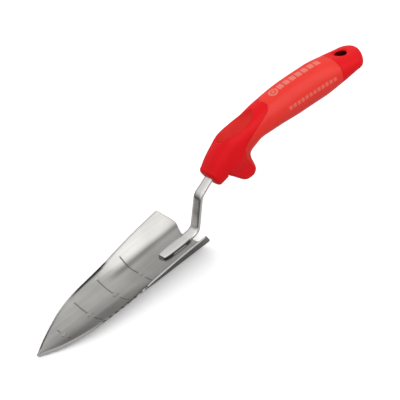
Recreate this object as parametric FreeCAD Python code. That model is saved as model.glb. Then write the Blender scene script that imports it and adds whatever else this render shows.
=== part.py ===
import FreeCAD, Part
import math
import os
from FreeCAD import Vector

# Hand trowel. X runs from the blade's tip to the end of the handle, Z is up out of
# the blade's hollow side, and the trowel is the same on both sides of the plane Y = 0.
# The sizes below are measured from the tip, with Z = 0 on the blade's floor, and every
# solid is moved at the end so that the origin is under the middle of the whole trowel.

# ---- blade, millimetres ----
sheet_thickness = 1.6
blade_floor = [(0, 0.0), (60, -0.3), (100, 0.5), (120, 1.2), (158, 2.1)]
blade_half_width = [(0, 0.8), (13, 9.8), (26, 16.3), (38, 20.8), (51, 23.6), (64, 25.2),
                    (77, 26.0), (90, 26.5), (103, 27.5), (128, 29.4), (158, 31.4)]
blade_edge_rise = [(0, 0.2), (13, 1.2), (26, 3.0), (38, 5.1), (51, 7.0), (64, 8.2),
                   (77, 9.2), (90, 10.4), (103, 12.0), (128, 14.3), (158, 16.2)]
blade_fold_line = [(0, 0.5), (13, 4.6), (26, 8.2), (38, 11.2), (51, 13.6), (77, 15.8),
                   (103, 17.0), (158, 18.6)]
blade_fold_softness = [(0, 2.5), (38, 3.0), (77, 2.5), (103, 1.9), (158, 1.6)]
bevel_width = [(0, 0.5), (13, 2.3), (80, 2.3), (90, 0.2), (158, 0.2)]
blade_stations = [0, 3, 7, 13, 19, 26, 32, 38, 44, 51, 57, 64, 70, 77, 83, 90, 97, 103, 111, 120,
                  128, 137, 147, 158]
section_points = 15
wing_rear = 157.0            # where the wings end, at floor level
wing_rear_lean = 0.54        # how far the wings' rear edge leans forward per unit of height
floor_rear = 149.5           # the floor between the wings is cut back to here
notch_half_width = 9.0
notch_shoulder = (154.0, 19.0)
inch = 25.4
mark_depth = 0.3
mark_width = 0.8
mark_spans = [(1, 5.0, 8.5), (2, 4.2, 18.6), (3, 4.2, 21.6), (4, 4.2, 23.5)]   # inches, from, to
tooth_radius = 2.6
tooth_pitch = 5.6
tooth_bite = 0.5
tooth_first = 49.4
tooth_count = 8

# ---- shank: a flat bar, flattened at the foot that is welded to the blade ----
bar_width = 7.8
bar_thickness = 2.7
foot_thickness = 2.2
foot_half_width = 5.8
foot_toe = 122.0
foot_heel = 147.0
# centre line of the bar above the foot: x, z and the radius of the bend there
bar_route = [(foot_heel, 3.0, 0.0), (156.6, 3.8, 8.0), (169.4, 27.8, 9.0), (196.8, 41.5, 40.0),
             (222.0, 47.6, 60.0), (268.0, 50.0, 0.0)]

# ---- welds along the foot ----
weld_leg = 1.5
weld_side_span = (129.0, 143.0)

# ---- handle sections: centre x, centre z, slope of the handle there in degrees,
#      half height, half width, squareness ----
handle_sections = [
    (185.8, 35.6, 22, 9.3, 9.0, 2.6),
    (192.5, 38.9, 22, 11.1, 10.0, 2.6),
    (200.5, 42.4, 19, 12.6, 11.0, 2.6),
    (209.0, 46.2, 15, 13.3, 11.6, 2.6),
    (219.7, 48.3, 10, 12.5, 12.0, 2.5),
    (231.5, 50.3, 7, 10.9, 12.2, 2.3),
    (241.0, 51.0, 2, 12.1, 12.6, 2.2),
    (254.6, 51.2, -1, 13.4, 13.3, 2.1),
    (272.8, 50.5, -3, 14.5, 14.0, 2.1),
    (295.3, 49.1, -4, 14.5, 14.2, 2.1),
    (315.7, 47.6, -5, 11.2, 15.0, 2.2),
    (330.0, 46.7, -6, 8.2, 14.6, 2.3),
]
nose_rounding = 3.0
tail_length = 11.6
dome_steps = 4
ring_points = 9

# ---- finger guard under the nose ----
guard_root_front = [(196.0, 40.0), (194.5, 31.5)]
guard_outline = [(194.5, 31.5), (201.3, 24.3), (205.8, 19.7), (210.4, 15.9), (216.0, 15.0),
                 (220.6, 18.2), (221.2, 22.2), (218.9, 28.0), (218.4, 32.5), (221.0, 38.0)]
guard_root_rear = [(221.0, 38.0), (222.0, 44.0)]
guard_half_width = 7.4
guard_edge_round = 3.4

# ---- soft grip and thumb pad ----
gel_thickness = 2.6
gel_rear = 316.2             # where the handle's axis crosses the rear seam
gel_rear_slope = -8
gel_front_outline = [(244.5, 70.0), (245.5, 61.0), (242.0, 57.4), (229.5, 54.0), (217.5, 47.2),
                     (212.0, 40.5), (213.6, 34.0), (216.2, 28.0), (218.0, 22.0), (222.0, 20.0)]
thumb_centre = (220.3, 60.6)
thumb_slope = 2
thumb_half_length = 17.0
thumb_half_width = 8.2
thumb_dish_depth = 2.4
thumb_pad_thickness = 2.4

# ---- hang hole through the tail ----
hang_hole_radius = 4.8
hang_hole_centre = (325.8, 46.9)
hang_hole_slope = -6


def smooth_value(points, x):
    """Height at x of a smooth curve through (x, height) points, without overshoot."""
    xs = [p[0] for p in points]
    ys = [p[1] for p in points]
    if x <= xs[0]:
        return ys[0]
    if x >= xs[-1]:
        return ys[-1]
    steps = [(ys[i + 1] - ys[i]) / (xs[i + 1] - xs[i]) for i in range(len(xs) - 1)]
    slopes = [steps[0]]
    for before, after in zip(steps, steps[1:]):
        slopes.append(0.0 if before * after <= 0 else 2 * before * after / (before + after))
    slopes.append(steps[-1])
    i = max(k for k in range(len(xs) - 1) if xs[k] <= x)
    span = xs[i + 1] - xs[i]
    t = (x - xs[i]) / span
    return ((2 * t**3 - 3 * t**2 + 1) * ys[i] + (t**3 - 2 * t**2 + t) * span * slopes[i]
            + (3 * t**2 - 2 * t**3) * ys[i + 1] + (t**3 - t**2) * span * slopes[i + 1])


def spline(points):
    curve = Part.BSplineCurve()
    curve.interpolate(points)
    return curve.toShape()


def soft_ramp(distance, softness):
    """Zero well before the fold and a straight slope well after it."""
    return softness * math.log(1 + math.exp(distance / softness))


def floor_height(x, y):
    """Height of the blade's hollow face: flat in the middle, folded up at the sides."""
    half = smooth_value(blade_half_width, x)
    fold = smooth_value(blade_fold_line, x)
    softness = smooth_value(blade_fold_softness, x)
    wall = soft_ramp(abs(y) - fold, softness) / soft_ramp(half - fold, softness)
    return smooth_value(blade_floor, x) + smooth_value(blade_edge_rise, x) * wall


def floor_point(x, y, depth):
    """Point of the blade's section at x, at a depth under the hollow face."""
    step = 0.01
    slope = (floor_height(x, y + step) - floor_height(x, y - step)) / (2 * step)
    length = math.hypot(1, slope)
    return Vector(x, y + depth * slope / length, floor_height(x, y) - depth / length)


def spread(limit, count):
    """Positions from -limit to limit, closer together near the ends."""
    return [limit * math.sin(math.pi / 2 * (2 * i / (count - 1) - 1)) for i in range(count)]


def blade_section(x):
    half = smooth_value(blade_half_width, x)
    hollow_half = half - smooth_value(bevel_width, x)
    hollow = [floor_point(x, y, 0) for y in spread(hollow_half, section_points)]
    back = [floor_point(x, y, sheet_thickness) for y in spread(half, section_points)]
    return Part.Wire([spline(hollow), Part.makeLine(hollow[-1], back[-1]),
                      spline(back[::-1]), Part.makeLine(back[0], hollow[0])])


def upright_prism(points, bottom, top):
    """Solid between two heights over a closed plan outline of straight lines and splines."""
    edges = []
    for run in points:
        run = [Vector(x, y, bottom) for x, y in run]
        edges.append(spline(run) if len(run) > 2 else Part.makeLine(*run))
    return Part.Face(Part.Wire(edges)).extrude(Vector(0, 0, top - bottom))


def side_prism(runs, half_width):
    """Solid across the trowel from a closed side outline of straight lines and splines."""
    edges = []
    for run in runs:
        run = [Vector(x, -half_width, z) for x, z in run]
        edges.append(spline(run) if len(run) > 2 else Part.makeLine(*run))
    return Part.Face(Part.Wire(edges)).extrude(Vector(0, 2 * half_width, 0))


def rear_notch():
    shoulder_x, shoulder_y = notch_shoulder
    behind = wing_rear + 12
    flank = [(floor_rear, notch_half_width), (floor_rear + 1.3, notch_half_width + 3.4),
             (shoulder_x, shoulder_y), (wing_rear + 1, shoulder_y + 4)]
    other = [(x, -y) for x, y in flank]
    return upright_prism([[other[0], flank[0]], flank, [flank[-1], (behind, flank[-1][1])],
                          [(behind, flank[-1][1]), (behind, -flank[-1][1])],
                          [(behind, -flank[-1][1]), other[-1]], other[::-1]], -5, 8)


def graduation_groove(x, y_from, y_to):
    """Shallow trench across the hollow face that follows its curve."""
    wires = []
    for station in (x - mark_width / 2, x + mark_width / 2):
        ys = [y_from + (y_to - y_from) * i / 4 for i in range(5)]
        low = [floor_point(station, y, mark_depth) for y in ys]
        high = [floor_point(station, y, -1.0) for y in ys]
        wires.append(Part.Wire([spline(low), Part.makeLine(low[-1], high[-1]),
                                spline(high[::-1]), Part.makeLine(high[0], low[0])]))
    return Part.makeLoft(wires, True, True)


def tooth_cut(x):
    """Round bite out of the near edge, square to the sheet there."""
    half = smooth_value(blade_half_width, x)
    edge = floor_point(x, -half, 0)
    inner = floor_point(x, -half, -6)
    outer = floor_point(x, -half, 8)
    across = floor_point(x, -half + 1, 0) - edge
    across.normalize()
    centre = inner - across * (tooth_radius - tooth_bite)
    return Part.makeCylinder(tooth_radius, (outer - inner).Length, centre, outer - inner)


def make_blade():
    blade = Part.makeLoft([blade_section(x) for x in blade_stations], True, True)
    top = 30.0
    behind = wing_rear + 20
    blade = blade.cut(side_prism([[(wing_rear, 0), (wing_rear - wing_rear_lean * top, top)],
                                  [(wing_rear - wing_rear_lean * top, top), (behind, top)],
                                  [(behind, top), (behind, -8)],
                                  [(behind, -8), (wing_rear, -8)],
                                  [(wing_rear, -8), (wing_rear, 0)]], 40))
    blade = blade.cut(rear_notch())
    for number, near, far in mark_spans:
        blade = blade.cut(graduation_groove(number * inch, near, far))
        blade = blade.cut(graduation_groove(number * inch, -far, -near))
    for i in range(tooth_count):
        blade = blade.cut(tooth_cut(tooth_first + i * tooth_pitch))
    return blade


def rounded_route(points):
    """Edges of a route in the plane Y = 0: straight runs joined by arcs."""
    edges = []
    start = Vector(points[0][0], 0, points[0][1])
    for i in range(1, len(points) - 1):
        corner = Vector(points[i][0], 0, points[i][1])
        before = (Vector(points[i - 1][0], 0, points[i - 1][1]) - corner).normalize()
        after = (Vector(points[i + 1][0], 0, points[i + 1][1]) - corner).normalize()
        turn = math.pi - before.getAngle(after)
        reach = points[i][2] * math.tan(turn / 2)
        arc_start = corner + before * reach
        arc_end = corner + after * reach
        towards_centre = (before + after).normalize()
        to_centre = points[i][2] / math.cos(turn / 2)
        middle = corner + towards_centre * (to_centre - points[i][2])
        edges.append(Part.makeLine(start, arc_start))
        edges.append(Part.Arc(arc_start, middle, arc_end).toShape())
        start = arc_end
    edges.append(Part.makeLine(start, Vector(points[-1][0], 0, points[-1][1])))
    return Part.Wire(edges)


def foot_side():
    """Side outline of the foot, from inside the blade's sheet up to the foot's top."""
    low_toe = smooth_value(blade_floor, foot_toe) - sheet_thickness / 2
    low_heel = smooth_value(blade_floor, foot_heel) - sheet_thickness / 2
    rise = foot_thickness + sheet_thickness / 2
    corners = [(foot_toe, low_toe), (foot_heel + 1, low_heel), (foot_heel + 1, low_heel + rise),
               (foot_toe, low_toe + rise)]
    return [[corners[i - 1], corners[i]] for i in range(4)]


def make_shank(blade):
    route = rounded_route(bar_route)
    heel = Vector(foot_heel, 0, bar_route[0][1])
    rise = Vector(bar_route[1][0] - foot_heel, 0, bar_route[1][1] - bar_route[0][1]).normalize()
    normal = Vector(-rise.z, 0, rise.x)
    corners = [heel + normal * (side * bar_thickness / 2) + Vector(0, reach * foot_half_width, 0)
               for side, reach in ((-1, -1), (-1, 1), (1, 1), (1, -1), (-1, -1))]
    bar = route.makePipeShell([Part.makePolygon(corners)], True, False)
    foot = side_prism(foot_side(), foot_half_width)
    middle = (foot_toe + foot_heel) / 2
    half = bar_width / 2
    near_side = [(foot_toe, -2.4), (foot_toe + 3.0, -4.4), (middle, -5.2),
                 (foot_heel - 3, -foot_half_width), (foot_heel + 8, -half)]
    far_side = [(x, -y) for x, y in near_side]
    outline = upright_prism([near_side, [near_side[-1], (300, -half)], [(300, -half), (300, half)],
                             [(300, half), far_side[-1]], far_side[::-1], [far_side[0], near_side[0]]],
                            -5, 80)
    return bar.fuse(foot).common(outline).cut(blade).removeSplitter()


def weld_bead(start, end, outward):
    """Straight bead of triangular section in the corner between the foot and the floor."""
    below = Vector(0, 0, -1)
    tip = start + outward * weld_leg
    profile = Part.makePolygon([start + below, tip + below, tip, start + Vector(0, 0, weld_leg),
                                start + below])
    return Part.Face(profile).extrude(end - start)


def make_welds(blade, shank):
    first, last = weld_side_span
    height = smooth_value(blade_floor, (first + last) / 2)
    reach = foot_half_width - 0.3
    beads = {}
    for name, side in (("weld_right", -1), ("weld_left", 1)):
        start = Vector(first, side * reach, height)
        beads[name] = weld_bead(start, Vector(last, side * reach, height), Vector(0, side, 0))
    height = smooth_value(blade_floor, foot_toe)
    beads["weld_toe"] = weld_bead(Vector(foot_toe, -2.6, height), Vector(foot_toe, 2.6, height),
                                  Vector(-1, 0, 0))
    return {name: bead.cut([blade, shank]) for name, bead in beads.items()}


def handle_ring(section, inset):
    """Closed curve round the handle, a rounded square standing square to its axis."""
    x, z, slope, half_height, half_width, squareness = section
    lean = math.radians(slope)
    sides = []
    for side in (-1, 1):
        half_ring = []
        for i in range(ring_points):
            angle = math.pi * (0.5 - i / (ring_points - 1))
            up = math.copysign(abs(math.sin(angle)) ** (2 / squareness), math.sin(angle))
            out = abs(math.cos(angle)) ** (2 / squareness) if 0 < i < ring_points - 1 else 0
            up *= half_height - inset
            half_ring.append(Vector(x - up * math.sin(lean), side * out * (half_width - inset),
                                    z + up * math.cos(lean)))
        curve = Part.BSplineCurve()
        curve.interpolate(half_ring[::side], InitialTangent=Vector(0, -1, 0) if side < 0 else Vector(0, 1, 0),
                          FinalTangent=Vector(0, 1, 0) if side < 0 else Vector(0, -1, 0))
        sides.append(curve.toShape())
    return Part.Wire(sides)


def shifted(section, distance, height_scale, width_scale):
    """The same section moved along the handle's axis and made smaller."""
    x, z, slope, half_height, half_width, squareness = section
    lean = math.radians(slope)
    return (x + distance * math.cos(lean), z + distance * math.sin(lean), slope,
            half_height * height_scale, half_width * width_scale, squareness)


def rounded_end(section, distance, height_scale, width_scale):
    """Solid that closes one end of the handle, step by step from full size to a small face."""
    rings = [handle_ring(section, 0)]
    for step in range(1, dome_steps + 1):
        reach = math.sin(math.pi / 2 * step / (dome_steps + 0.6))
        rings.append(handle_ring(shifted(section, distance * reach, height_scale(reach),
                                         width_scale(reach)), 0))
    return Part.makeLoft(rings, True, True)


def full_handle():
    """The handle's whole outer form without the finger guard."""
    body = Part.makeLoft([handle_ring(section, 0) for section in handle_sections], True, False)
    first = handle_sections[0]
    corner = nose_rounding / first[3]
    nose = rounded_end(first, -nose_rounding, lambda reach: 1 - corner * (1 - math.sqrt(1 - reach**2)),
                       lambda reach: 1 - corner * (1 - math.sqrt(1 - reach**2)))
    tail = rounded_end(handle_sections[-1], tail_length, lambda reach: (1 - reach**4) ** 0.25,
                       lambda reach: math.sqrt(1 - reach**2))
    return body.fuse([nose, tail])


def finger_guard():
    guard = side_prism([guard_root_front, guard_outline, guard_root_rear,
                        [guard_root_rear[1], guard_root_front[0]]], guard_half_width)
    rounded = [edge for edge in guard.Edges
               if edge.BoundBox.YLength < 0.01 and abs(abs(edge.BoundBox.YMin) - guard_half_width) < 0.01
               and edge.BoundBox.ZMin < guard_root_rear[0][1] - 5]
    return guard.makeFillet(guard_edge_round, rounded)


def gel_region():
    """Everything behind the front seam and in front of the rear seam."""
    lean = math.radians(gel_rear_slope)
    axis_height = smooth_value([(s[0], s[1]) for s in handle_sections], gel_rear)
    top = 80.0
    bottom = 10.0
    rear_top = (gel_rear - (top - axis_height) * math.tan(lean), top)
    rear_bottom = (gel_rear - (bottom - axis_height) * math.tan(lean), bottom)
    front_top = (gel_front_outline[0][0], top)
    front_bottom = (gel_front_outline[-1][0], bottom)
    return side_prism([[front_top, gel_front_outline[0]], gel_front_outline,
                       [gel_front_outline[-1], front_bottom], [front_bottom, rear_bottom],
                       [rear_bottom, rear_top], [rear_top, front_top]], 30)


def thumb_block(low, high):
    """Upright oval block under the thumb, between two heights above the pad's centre."""
    x, z = thumb_centre
    oval = Part.Ellipse(Vector(x, 0, z + low), thumb_half_length, thumb_half_width).toShape()
    block = Part.Face(Part.Wire(oval)).extrude(Vector(0, 0, high - low))
    block.rotate(Vector(x, 0, z), Vector(0, 1, 0), -thumb_slope)
    return block


def hang_hole_cutter():
    x, z = hang_hole_centre
    lean = math.radians(hang_hole_slope)
    axis = Vector(-math.sin(lean), 0, math.cos(lean))
    return Part.makeCylinder(hang_hole_radius, 60, Vector(x, 0, z) - axis * 30, axis)


def inner_spine():
    """The core's slimmer middle that the soft grip is moulded over."""
    rings = [handle_ring(section, gel_thickness) for section in handle_sections[3:]]
    return Part.makeLoft(rings, True, False)


def make_handle(shank):
    outer = full_handle().fuse(finger_guard())
    spine = inner_spine()
    region = gel_region()
    pad_top = thumb_block(-thumb_dish_depth, 12)
    pad_pocket = thumb_block(-thumb_dish_depth - thumb_pad_thickness, 12)
    gel = outer.common(region).cut(spine)
    pad = outer.common(pad_pocket).cut(pad_top)
    core = outer.cut(region).fuse(spine).cut(pad_pocket).cut(hang_hole_cutter()).cut(shank)
    return {"handle_core": core, "gel_grip": gel, "thumb_pad": pad}


def main():
    blade = make_blade()
    shank = make_shank(blade)
    pieces = {"blade": blade, "shank": shank}
    pieces.update(make_welds(blade, shank))
    pieces.update(make_handle(shank))
    box = FreeCAD.BoundBox()
    for piece in pieces.values():
        box.add(piece.optimalBoundingBox(False, False))
    to_origin = Vector(-(box.XMin + box.XMax) / 2, 0, -box.ZMin)
    print("origin moved by", to_origin, "size", box.XLength, box.YLength, box.ZLength)
    os.makedirs("parts", exist_ok=True)
    for name, piece in pieces.items():
        solids = [solid.translated(to_origin) for solid in piece.Solids]
        shape = solids[0] if len(solids) == 1 else Part.makeCompound(solids)
        shape.exportStep("parts/" + name + ".step")
        print(name, len(solids), shape.isValid(), round(shape.Volume, 1))


main()
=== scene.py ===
# Hand trowel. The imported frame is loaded, its plain solids give way to finished surfaces,
# and a studio with a pale floor, two soft boxes and one camera is set round them.
import bpy
import math
import numpy as np
from mathutils import Matrix, Vector


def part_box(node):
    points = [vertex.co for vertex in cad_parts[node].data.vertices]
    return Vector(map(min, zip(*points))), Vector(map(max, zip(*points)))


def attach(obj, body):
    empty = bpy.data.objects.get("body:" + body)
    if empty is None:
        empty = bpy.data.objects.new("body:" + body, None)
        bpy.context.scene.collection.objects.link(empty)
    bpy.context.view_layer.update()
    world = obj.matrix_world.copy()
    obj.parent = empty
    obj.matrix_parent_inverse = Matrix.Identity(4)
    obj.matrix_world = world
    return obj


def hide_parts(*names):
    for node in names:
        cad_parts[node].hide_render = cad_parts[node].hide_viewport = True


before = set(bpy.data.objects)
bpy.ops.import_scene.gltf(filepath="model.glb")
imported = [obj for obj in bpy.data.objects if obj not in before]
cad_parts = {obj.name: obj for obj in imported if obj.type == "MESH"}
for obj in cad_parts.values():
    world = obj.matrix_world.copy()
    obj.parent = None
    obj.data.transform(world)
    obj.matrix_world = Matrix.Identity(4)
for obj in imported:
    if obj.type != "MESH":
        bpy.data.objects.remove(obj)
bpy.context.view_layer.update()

# Shapes below are worked out in millimetres from the blade's tip, with height 0 on its floor.
sheet = dict(
    thickness=1.6, lowestFloor=-0.3,
    floor=[(0, 0.0), (60, -0.3), (100, 0.5), (120, 1.2), (158, 2.1)],
    halfWidth=[(0, 0.8), (13, 9.8), (26, 16.3), (38, 20.8), (51, 23.6), (64, 25.2), (77, 26.0),
               (90, 26.5), (103, 27.5), (128, 29.2), (158, 31.0)],
    edgeRise=[(0, 0.2), (13, 1.2), (26, 3.0), (38, 5.1), (51, 7.0), (64, 8.2), (77, 9.2),
              (90, 10.4), (103, 12.0), (128, 14.3), (158, 16.2)],
    foldLine=[(0, 0.5), (13, 4.6), (26, 8.2), (38, 11.2), (51, 13.6), (77, 15.8), (103, 17.0), (158, 18.6)],
    foldSoftness=[(0, 2.5), (38, 5.5), (64, 6.0), (84, 3.8), (103, 2.1), (158, 1.6)],
    grindWidth=[(0, 2.2), (60, 2.35), (76, 2.35), (97, 0.8), (158, 0.8)],
    edgeThickness=[(0, 0.35), (76, 0.35), (97, 1.4), (158, 1.4)],
    rimRadius=0.22,
    wingRear=157.0, wingLean=0.54, floorRear=149.5, notchHalf=9.0, shoulder=(154.0, 19.0),
    cornerRadius=1.6, rear=150.0, blendLength=1.2, warpFrom=132.0,
)
marks = dict(inch=25.4, depth=0.34, halfWidth=0.5, spans=[(5.0, 8.5), (4.2, 18.6), (4.2, 21.6), (4.2, 23.5)],
             digitHeight=3.7, digitWidth=2.3, digitStroke=0.42, digitDepth=0.30)
teeth = dict(first=49.4, pitch=5.6, count=8, halfBite=1.3, bite=0.7)
# where along the blade each kind of wear and painted shade begins and ends, and how strong it is
wearAndShade = dict(groundEnds=(84, 95), shadeStarts=(46, 62), shadeEnds=(88, 92), paintedDarkRim=0.45, paintedDarkRimEnds=(90, 98),
            rimLine=0.65, rimLineStarts=(90, 97), rimShine=0.8, rimShineStarts=(84, 104),
            foldShade=0.55, foldWidth=2.4, foldStarts=(78, 96), mark=0.85)
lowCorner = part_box("blade")[0]
shift = np.array([lowCorner[0] * 1000, 0.0, lowCorner[2] * 1000 + sheet["thickness"] - sheet["lowestFloor"]])


# Smooth curve through (x, value) points: a cubic on each stretch, whose slope at a point is the
# harmonic mean of the two neighbouring slopes, or zero at a peak, so that it never overshoots.
def curveThrough(points, x):
    px, py = np.array(points, float).T
    step = np.diff(py) / np.diff(px)
    inner = np.where(step[:-1] * step[1:] > 0, 2 * step[:-1] * step[1:] / (step[:-1] + step[1:] + 1e-12), 0)
    slope = np.concatenate([step[:1], inner, step[-1:]])
    x = np.clip(x, px[0], px[-1])
    i = np.clip(np.searchsorted(px, x, side="right") - 1, 0, len(px) - 2)
    span = px[i + 1] - px[i]
    t = (x - px[i]) / span
    return ((2 * t**3 - 3 * t**2 + 1) * py[i] + (t**3 - 2 * t**2 + t) * span * slope[i]
            + (3 * t**2 - 2 * t**3) * py[i + 1] + (t**3 - t**2) * span * slope[i + 1])


# 0 below low, 1 above high, and three t squared less two t cubed between.
def ease(low, high, value):
    t = np.clip((value - low) / (high - low), 0, 1)
    return t * t * (3 - 2 * t)


# Grid of points (rows, columns, 3) as corner and face arrays. A closed way joins its last line to
# its first, and a capped end gets a fan to the end row's middle.
def gridFaces(points, closeRows=False, closeColumns=False, capFirst=False, capLast=False):
    rows, columns = points.shape[:2]
    r = np.arange(rows if closeRows else rows - 1)[:, None]
    c = np.arange(columns if closeColumns else columns - 1)[None, :]
    r2 = (r + 1) % rows
    c2 = (c + 1) % columns
    quads = np.stack([r * columns + c, r2 * columns + c, r2 * columns + c2, r * columns + c2], -1)
    quads = quads.reshape(-1, 4)
    corners = points.reshape(-1, 3)
    fans = []
    for wanted, row in ((capFirst, 0), (capLast, rows - 1)):
        if wanted:
            ring = row * columns + np.arange(columns)
            middle = np.full(columns, len(corners))
            corners = np.concatenate([corners, points[row].mean(0)[None]])
            order = [ring, np.roll(ring, -1), middle] if row == 0 else [np.roll(ring, -1), ring, middle]
            fans.append(np.stack(order, -1))
    return corners, quads, fans


# Mesh object from corners in millimetres and lists of face arrays. The faces are turned over if
# the sum of their signed pyramids says that they point inwards.
def buildPiece(name, corners, faceSets, finish, nodes, sharpAngle=None, attributes=None):
    faces = [face for faceSet in faceSets for face in faceSet.tolist()]
    volume = 0.0
    for faceSet in faceSets:
        for k in range(1, faceSet.shape[1] - 1):
            a, b, c = corners[faceSet[:, 0]], corners[faceSet[:, k]], corners[faceSet[:, k + 1]]
            volume += np.einsum("ij,ij->i", a, np.cross(b, c)).sum() / 6
    if volume < 0:
        faces = [face[::-1] for face in faces]
    mesh = bpy.data.meshes.new(name)
    mesh.from_pydata(((corners + shift) / 1000).tolist(), [], faces)
    mesh.validate()
    mesh.polygons.foreach_set("use_smooth", np.ones(len(mesh.polygons), bool))
    for key, values in (attributes or {}).items():
        layer = mesh.attributes.new(key, "FLOAT", "POINT")
        layer.data.foreach_set("value", np.asarray(values, np.float32))
    if sharpAngle:
        mesh.set_sharp_from_angle(angle=math.radians(sharpAngle))
    mesh.update()
    piece = bpy.data.objects.new(name, mesh)
    bpy.context.scene.collection.objects.link(piece)
    mesh.materials.append(finish)
    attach(piece, "root")
    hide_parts(*nodes)
    print("made", name, len(mesh.vertices), "corners, volume", round(abs(volume), 1), "mm3")
    return piece


# A node's output that can be added, multiplied and so on; each sign adds one Math node.
class Value:
    def __init__(self, owner, socket):
        self.owner = owner
        self.socket = socket

    def work(self, operation, left, right):
        return self.owner.node("ShaderNodeMath", {"operation": operation}, {0: left, 1: right})

    def __add__(self, other):
        return self.work("ADD", self, other)

    def __radd__(self, other):
        return self.work("ADD", other, self)

    def __sub__(self, other):
        return self.work("SUBTRACT", self, other)

    def __rsub__(self, other):
        return self.work("SUBTRACT", other, self)

    def __mul__(self, other):
        return self.work("MULTIPLY", self, other)

    def __rmul__(self, other):
        return self.work("MULTIPLY", other, self)


# A node tree and the one way that nodes are added to it.
class NodeTree:
    def __init__(self, tree):
        self.tree = tree

    def node(self, kind, settings=None, inputs=None, output=0):
        made = self.tree.nodes.new(kind)
        for key, value in (settings or {}).items():
            if key == "stops":
                for extra in range(len(value) - 2):
                    made.color_ramp.elements.new(0.5)
                for element, (place, colour) in zip(made.color_ramp.elements, value):
                    element.position = place
                    element.color = (*colour, 1)
            else:
                setattr(made, key, value)
        for key, value in (inputs or {}).items():
            if isinstance(value, Value):
                self.tree.links.new(value.socket, made.inputs[key])
            else:
                made.inputs[key].default_value = value
        return Value(self, made.outputs[output])

    def place(self, scale=(1, 1, 1)):
        spot = self.node("ShaderNodeTexCoord", output="Object")
        return self.node("ShaderNodeMapping", {}, {"Vector": spot, "Scale": scale})

    def noise(self, where, scale, detail=3.0):
        return self.node("ShaderNodeTexNoise", {}, {"Vector": where, "Scale": scale, "Detail": detail}, "Fac")

    def mix(self, amount, first, second):
        return self.node("ShaderNodeMix", {"data_type": "RGBA"}, {0: amount, 6: first, 7: second}, 2)

    def blend(self, amount, first, second):
        return self.node("ShaderNodeMix", {"data_type": "FLOAT"}, {0: amount, 2: first, 3: second})

    def attribute(self, name):
        return self.node("ShaderNodeAttribute", {"attribute_name": name}, {}, "Fac")

    # 1 within half of the middle, 0 outside, over a soft quarter of a unit
    def window(self, value, middle, half):
        away = self.node("ShaderNodeMath", {"operation": "ABSOLUTE"}, {0: value - middle})
        return self.node("ShaderNodeClamp", {}, {0: (half - away) * 4.0 + 0.5})


# A material: a node tree whose constants are set straight on the shader.
class Finish(NodeTree):
    def __init__(self, name, fixed):
        self.material = bpy.data.materials.new(name)
        self.material.use_nodes = True
        super().__init__(self.material.node_tree)
        self.shader = self.tree.nodes["Principled BSDF"]
        for key, value in fixed.items():
            self.shader.inputs[key].default_value = value

    def feed(self, key, value):
        self.tree.links.new(value.socket, self.shader.inputs[key])

    def bump(self, height, distance, strength=1.0):
        self.feed("Normal", self.node("ShaderNodeBump", {}, {"Height": height, "Distance": distance,
                                                             "Strength": strength}))


def clear(colour):
    return (*colour, 1)


# Satin sheet: long fine grain along the blade, cloudy wear, bright ground edges, dark marks, painted shade
# on the left ground edge, in the teeth and along the folds, and painted darker rims and a darker back.
def satinBladeSteel():
    f = Finish("satinBladeSteel", {"Metallic": 1.0, "IOR": 2.5})
    fine = f.noise(f.place((60, 2600, 2600)), 1.0, 2.0)
    streaks = f.noise(f.place((14, 420, 420)), 1.0, 3.0)
    clouds = f.noise(f.place(), 28.0, 4.0)
    ground = f.attribute("ground")
    mark = f.attribute("mark")
    dull = f.attribute("dull")
    tone = streaks * 0.4 + clouds * 0.6
    sheetColour = f.mix(2.4 * tone - 0.7, clear((0.37, 0.365, 0.35)), clear((0.58, 0.57, 0.55)))
    groundColour = f.mix(fine, clear((0.46, 0.46, 0.445)), clear((0.60, 0.60, 0.58)))
    # painted shade: the hollow face turns near black wherever the shade attribute is set
    front = f.mix(f.attribute("soot"), f.mix(ground, sheetColour, groundColour), clear((0.05, 0.05, 0.048)))
    back = f.mix(clouds, clear((0.24, 0.238, 0.23)), clear((0.36, 0.355, 0.34)))
    # painted darkening: rims and the whole back take the darker back colour
    f.feed("Base Color", f.mix(dull, f.mix(mark, front, clear((0.20, 0.20, 0.19))), back))
    satin = 0.30 + 0.08 * streaks + 0.06 * clouds
    polished = 0.20 + 0.10 * fine
    f.feed("Roughness", f.blend(ground, satin, polished))
    f.bump(fine * 0.6 + streaks, 0.00002, 0.6)
    return f.material


# Polished bar: faint lines along it, a few soft clouds, and painted shade on the foot's right flank and toe.
def polishedBarSteel():
    f = Finish("polishedBarSteel", {"Metallic": 1.0, "IOR": 2.5})
    lines = f.noise(f.place((300, 2400, 300)), 1.0, 2.0)
    clouds = f.noise(f.place(), 90.0, 3.0)
    steel = f.mix(clouds, clear((0.84, 0.835, 0.82)), clear((0.97, 0.965, 0.95)))
    # painted shade: near black on the foot's right flank and toe
    f.feed("Base Color", f.mix(f.attribute("soot"), steel, clear((0.05, 0.05, 0.048))))
    f.feed("Roughness", 0.13 + 0.09 * lines + 0.08 * clouds)
    f.bump(lines, 0.00002, 0.5)
    return f.material


# Weld metal: duller, with heat tint along the bead.
def weldSteel():
    f = Finish("weldSteel", {"Metallic": 1.0, "IOR": 2.5})
    clouds = f.noise(f.place(), 500.0, 4.0)
    f.feed("Base Color", f.mix(clouds, clear((0.12, 0.115, 0.105)), clear((0.34, 0.33, 0.31))))
    f.feed("Roughness", 0.26 + 0.22 * clouds)
    f.bump(clouds, 0.00006, 0.7)
    return f.material
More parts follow.
